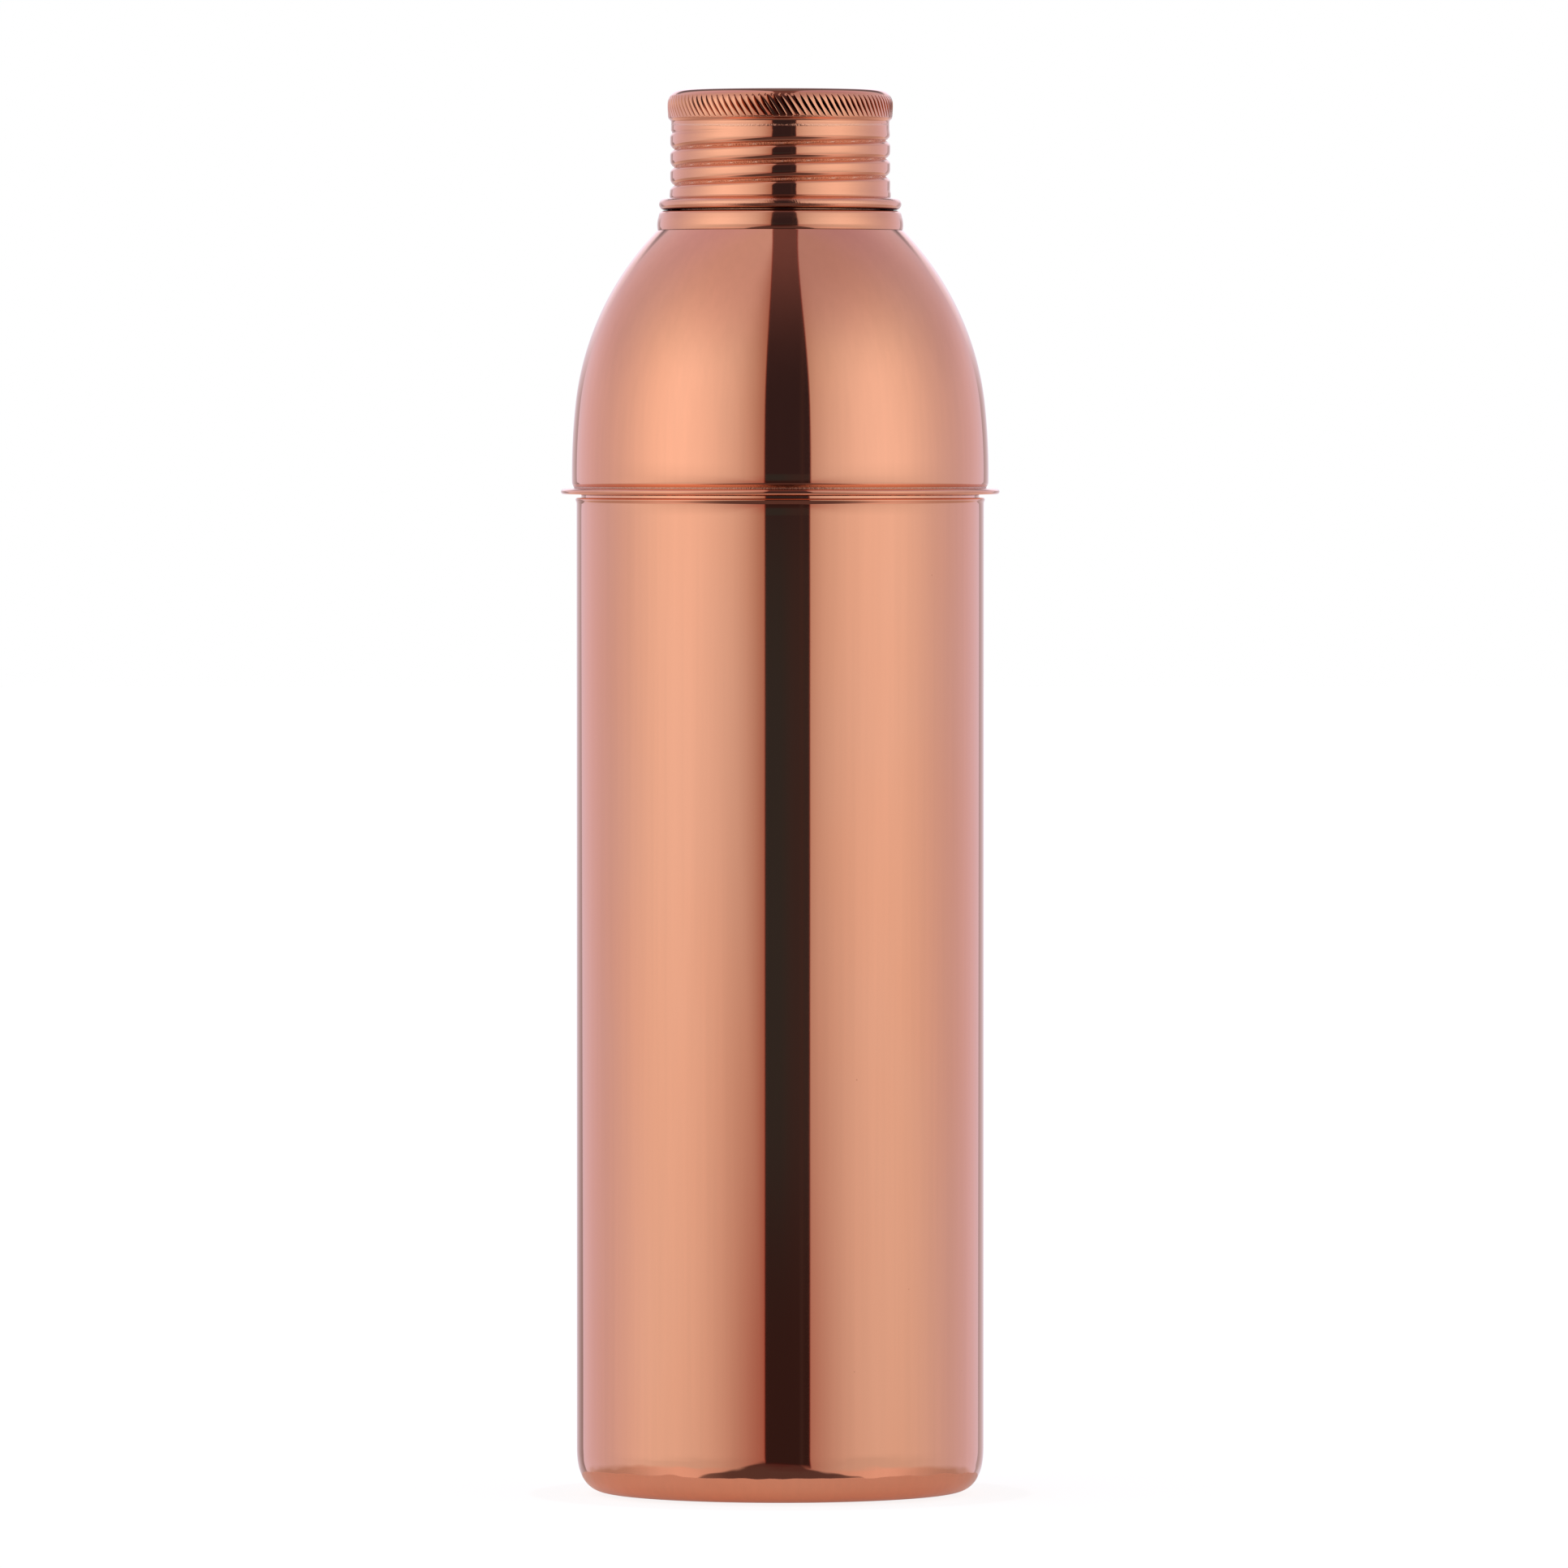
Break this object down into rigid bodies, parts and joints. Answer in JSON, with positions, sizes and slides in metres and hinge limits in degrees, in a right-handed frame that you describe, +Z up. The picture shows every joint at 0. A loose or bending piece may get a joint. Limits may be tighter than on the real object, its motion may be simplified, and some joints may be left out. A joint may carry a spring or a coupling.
{
  "type": "screw-cap water bottle",
  "caption": "Cylindrical sheet-copper water bottle with a domed shoulder, a flanged seam and a knurled screw cap.",
  "frame": {"origin": "centre of the base on the surface that the bottle stands on", "axes": "+Z up along the bottle's axis from base to cap, +X to the right in the front view, the front view looks along +Y"},
  "size_m": [0.0808, 0.0808, 0.2581],
  "materials": {
    "body_copper": "copper sheet, mirror polished and lacquered",
    "shoulder_copper": "copper sheet, mirror polished and lacquered",
    "neck_copper": "copper sheet, as rolled and lightly polished",
    "collar_copper": "copper, turned and polished",
    "cap_copper": "copper sheet, polished, with a rolled thread and a knurled band",
    "braze_alloy": "copper-phosphorus brazing alloy, as flowed",
    "gasket_silicone": "food-grade silicone, matt"
  },
  "bodies": {
    "bottle": {"body_shell": "body_copper", "shoulder_shell": "shoulder_copper", "shoulder_braze": "braze_alloy", "neck_tube": "neck_copper", "neck_collar": "collar_copper", "neck_braze": "braze_alloy"},
    "seal": {"cap_gasket": "gasket_silicone"},
    "cap": {"cap_shell": "cap_copper"}
  },
  "joints": [
    {"name": "cap_lift", "type": "slide", "parent": "bottle", "child": "seal", "axis": [0, 0, 1], "range_m": [0, 0.0198]},
    {"name": "cap_turn", "type": "hinge", "parent": "seal", "child": "cap", "pos_m": [0, 0, 0.247], "axis": [0, 0, 1], "range_deg": [0, 2160]}
  ],
  "couplings": [
    {"joint": "cap_lift", "follows": "cap_turn", "m_per_rad": 0.00052521}
  ]
}
